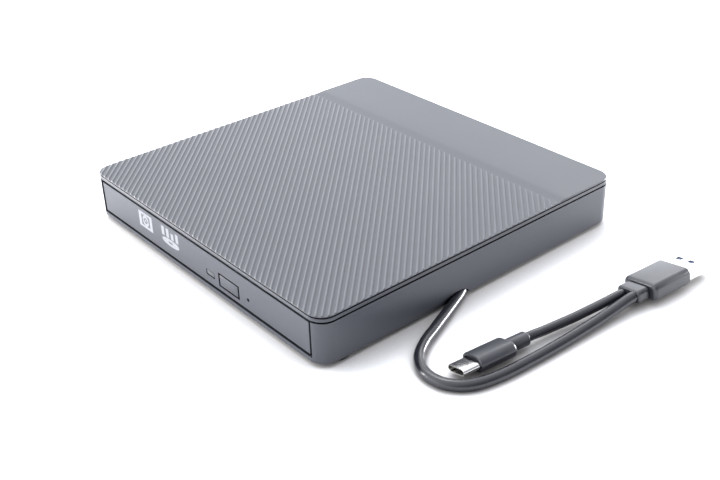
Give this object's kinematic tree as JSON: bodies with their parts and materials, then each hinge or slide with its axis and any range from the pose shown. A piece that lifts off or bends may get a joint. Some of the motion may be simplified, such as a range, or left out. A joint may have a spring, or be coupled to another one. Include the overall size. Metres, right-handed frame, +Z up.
{
  "type": "external optical drive",
  "caption": "Slim square external disc drive with a sliding tray, diagonal ribs on its top and a short captive lead that ends in a USB-A plug with a USB-C branch.",
  "frame": {"origin": "on the table, under the middle of the case", "axes": "+Z up, -Y out of the front where the tray opens, +X to the right seen from the front"},
  "size_m": [0.1952, 0.145, 0.0204],
  "materials": {
    "case_plastic": "moulded ABS, fine spark texture, satin",
    "button_plastic": "moulded ABS, satin",
    "tray_plastic": "moulded ABS and PC, matte",
    "guide_plastic": "moulded acetal",
    "connector_plastic": "moulded LCP",
    "pickup_plastic": "glass-filled PPS",
    "lever_plastic": "natural acetal",
    "clear_plastic": "frosted acrylic light pipe",
    "tongue_plastic": "moulded blue thermoplastic with four gold contacts",
    "chip_resin": "epoxy package",
    "circuit_board": "glass-epoxy with green solder mask",
    "wire_insulation": "PVC insulation",
    "flex_film": "polyimide flat flexible cable",
    "foot_rubber": "soft rubber",
    "lead_pvc": "soft PVC jacket, semi-gloss",
    "plug_pvc": "moulded PVC, satin",
    "sheet_steel": "zinc-plated pressed sheet",
    "bright_steel": "polished steel",
    "chassis_steel": "pressed steel",
    "motor_steel": "plated steel can",
    "screw_steel": "blackened steel",
    "switch_metal": "tin-plated steel",
    "claw_metal": "stainless steel",
    "plug_metal": "nickel-plated steel",
    "capacitor_metal": "can and ceramic capacitors",
    "cover_paint": "black painted steel",
    "copper_coil": "enamelled copper coil",
    "lens_glass": "coated moulded lens"
  },
  "bodies": {
    "enclosure": {"bottom_shell": "case_plastic", "top_cover": "case_plastic", "rubber_feet": "foot_rubber", "shell_screws": "screw_steel", "bridge_board": "circuit_board", "bridge_chips": "chip_resin", "bridge_capacitors": "capacitor_metal", "bridge_plug": "connector_plastic", "usb_wires": "wire_insulation", "drive_bracket": "sheet_steel", "bracket_screws": "screw_steel", "cable_gland": "lead_pvc", "drive_pan": "sheet_steel", "drive_lid": "sheet_steel", "drive_lid_screws": "screw_steel", "left_rail_guide": "guide_plastic", "right_rail_guide": "guide_plastic", "interface_board": "circuit_board", "interface_socket": "connector_plastic", "latch_post": "bright_steel", "flat_flex_cable": "flex_film", "usb_lead": "lead_pvc", "branch_lead": "lead_pvc", "usb_a_overmould": "plug_pvc", "usb_a_shell": "plug_metal", "usb_a_tongue": "tongue_plastic", "usb_c_overmould": "plug_pvc", "usb_c_shell": "plug_metal"},
    "left_rail": {"left_rail": "bright_steel"},
    "right_rail": {"right_rail": "bright_steel"},
    "tray": {"tray_frame": "tray_plastic", "front_bezel": "case_plastic", "light_pipe": "clear_plastic", "pickup_chassis": "chassis_steel", "chassis_cover": "cover_paint", "bottom_cover": "sheet_steel", "guide_rods": "bright_steel", "feed_motor": "motor_steel", "spindle_base": "chassis_steel", "rubber_dampers": "foot_rubber", "damper_screws": "screw_steel", "main_board": "circuit_board", "main_board_chips": "chip_resin", "eject_switch": "switch_metal", "solenoid": "copper_coil", "ejector_rod": "guide_plastic", "ejector_spring": "bright_steel"},
    "eject_button": {"eject_button": "button_plastic"},
    "turntable": {"spindle_rotor": "motor_steel", "turntable_hub": "tray_plastic", "turntable_pad": "foot_rubber"},
    "hub_claw_1": {"hub_claw_1": "claw_metal"},
    "hub_claw_2": {"hub_claw_2": "claw_metal"},
    "hub_claw_3": {"hub_claw_3": "claw_metal"},
    "pickup": {"pickup_carriage": "pickup_plastic"},
    "lens": {"lens_holder": "pickup_plastic", "objective_lens": "lens_glass"},
    "lead_screw": {"lead_screw": "bright_steel"},
    "latch_lever": {"latch_lever": "lever_plastic"},
    "solenoid_plunger": {"solenoid_plunger": "bright_steel"}
  },
  "joints": [
    {"name": "tray_slide", "type": "slide", "parent": "enclosure", "child": "tray", "axis": [0, -1, 0], "range_m": [0, 0.128]},
    {"name": "left_rail_slide", "type": "slide", "parent": "enclosure", "child": "left_rail", "axis": [0, -1, 0], "range_m": [0, 0.064]},
    {"name": "right_rail_slide", "type": "slide", "parent": "enclosure", "child": "right_rail", "axis": [0, -1, 0], "range_m": [0, 0.064]},
    {"name": "eject_press", "type": "slide", "parent": "tray", "child": "eject_button", "axis": [0, 1, 0], "range_m": [0, 0.0006], "stiffness_N_per_m": 500},
    {"name": "turntable_spin", "type": "hinge", "parent": "tray", "child": "turntable", "pos_m": [0, -0.0045, 0.009], "axis": [0, 0, 1], "continuous": true},
    {"name": "claw_1_press", "type": "slide", "parent": "turntable", "child": "hub_claw_1", "axis": [-0.5, -0.866, 0], "range_m": [0, 0.0008], "stiffness_N_per_m": 400},
    {"name": "claw_2_press", "type": "slide", "parent": "turntable", "child": "hub_claw_2", "axis": [1, 0, 0], "range_m": [0, 0.0008], "stiffness_N_per_m": 400},
    {"name": "claw_3_press", "type": "slide", "parent": "turntable", "child": "hub_claw_3", "axis": [-0.5, 0.866, 0], "range_m": [0, 0.0008], "stiffness_N_per_m": 400},
    {"name": "pickup_slide", "type": "slide", "parent": "tray", "child": "pickup", "axis": [0.7071, 0.7071, 0], "range_m": [0, 0.034]},
    {"name": "focus", "type": "slide", "parent": "pickup", "child": "lens", "axis": [0, 0, 1], "range_m": [-0.0004, 0.0004], "stiffness_N_per_m": 200},
    {"name": "lead_screw_spin", "type": "hinge", "parent": "tray", "child": "lead_screw", "pos_m": [0.02934, -0.00556, 0.0094], "axis": [0.7071, 0.7071, 0], "continuous": true},
    {"name": "plunger_slide", "type": "slide", "parent": "tray", "child": "solenoid_plunger", "axis": [1, 0, 0], "range_m": [0, 0.0011]},
    {"name": "latch_turn", "type": "hinge", "parent": "tray", "child": "latch_lever", "pos_m": [0.052, -0.044, 0.0075], "axis": [0, 0, 1], "range_deg": [0, 10]}
  ],
  "couplings": [
    {"joint": "left_rail_slide", "follows": "tray_slide", "ratio": 0.5},
    {"joint": "right_rail_slide", "follows": "tray_slide", "ratio": 0.5},
    {"joint": "lead_screw_spin", "follows": "pickup_slide", "rad_per_m": 2094.4},
    {"joint": "latch_turn", "follows": "plunger_slide", "rad_per_m": 158.6}
  ]
}
